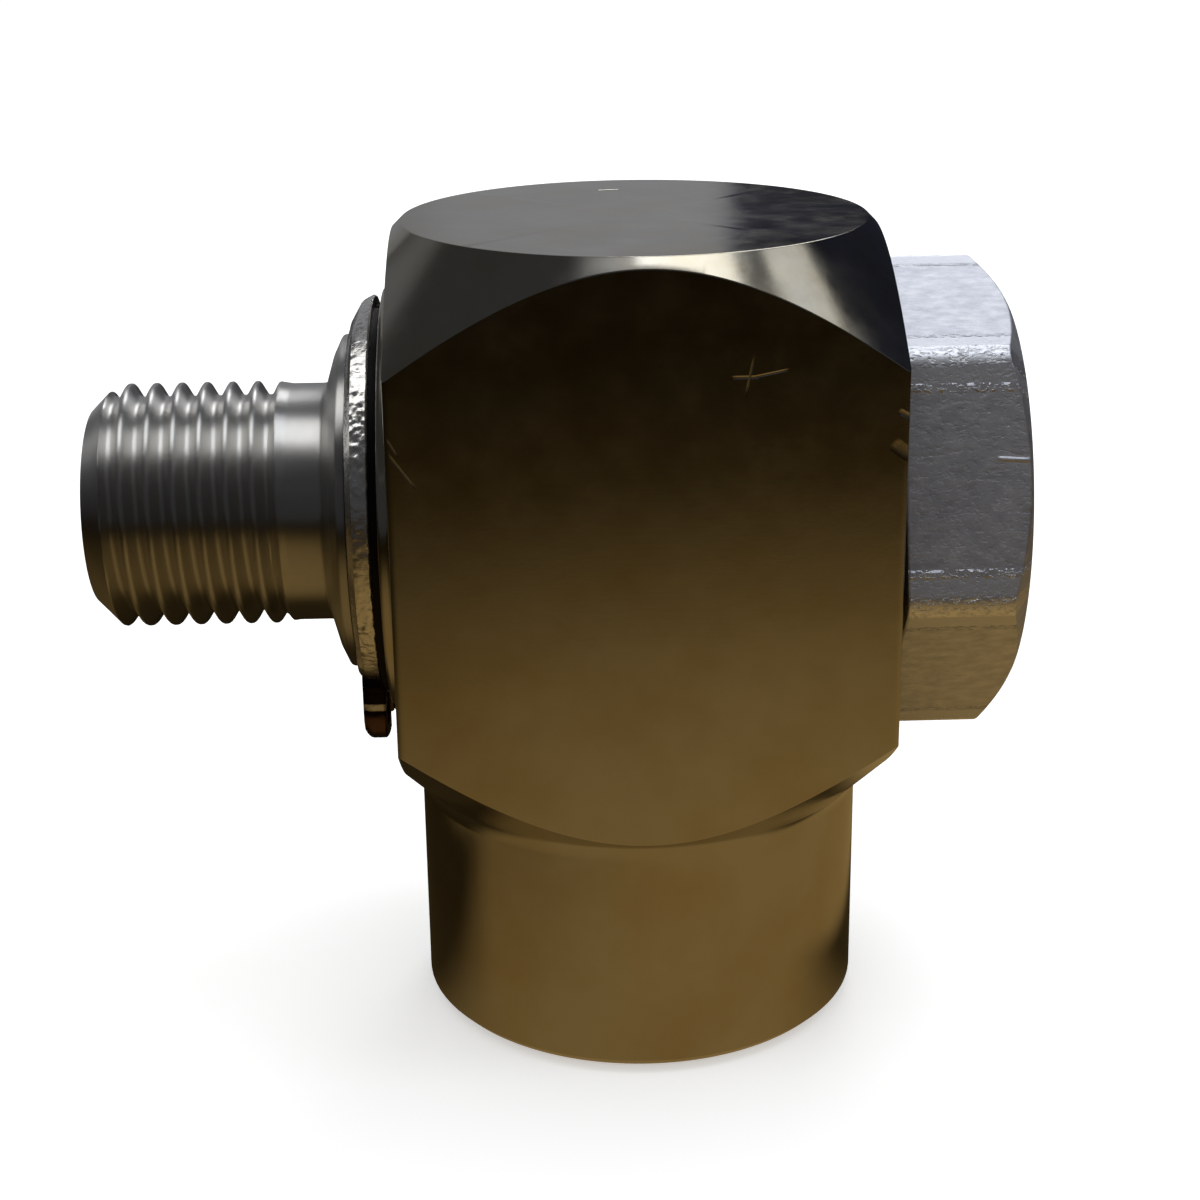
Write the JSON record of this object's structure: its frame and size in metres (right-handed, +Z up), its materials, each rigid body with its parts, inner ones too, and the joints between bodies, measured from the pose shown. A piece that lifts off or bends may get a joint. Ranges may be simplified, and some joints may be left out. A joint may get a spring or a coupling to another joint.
{
  "type": "hydraulic swivel joint",
  "caption": "Right-angle hydraulic swivel fitting: square brass body with a female port in its neck, turning on a steel stem with a male thread and a hexagon head.",
  "frame": {"origin": "centre of the female port's mouth, at the foot of the round neck", "axes": "+Z up the port's axis to the top of the body; X along the stem, with its threaded end towards -X and its hexagon head towards +X; Y across the body"},
  "size_m": [0.0477, 0.025, 0.043],
  "materials": {
    "brass": "drawn bar, turned, thinly nickel plated",
    "steel": "turned, bright",
    "spring_steel": "punched, sheared edges",
    "dark_steel": "phosphated, dark",
    "acetal": "matt",
    "nitrile_rubber": "matt",
    "ptfe": "smooth"
  },
  "bodies": {
    "housing": {"body": "brass", "thrust_washer_circlip_end": "acetal", "thrust_washer_head_end": "acetal"},
    "spindle": {"stem": "steel", "circlip": "spring_steel", "support_washer": "dark_steel", "o_ring_circlip_end": "nitrile_rubber", "o_ring_head_end": "nitrile_rubber", "backup_ring_inner_circlip_end": "ptfe", "backup_ring_outer_circlip_end": "ptfe", "backup_ring_inner_head_end": "ptfe", "backup_ring_outer_head_end": "ptfe"}
  },
  "joints": [
    {"name": "swivel", "type": "hinge", "parent": "housing", "child": "spindle", "pos_m": [0, 0, 0.028], "axis": [1, 0, 0], "continuous": true}
  ]
}
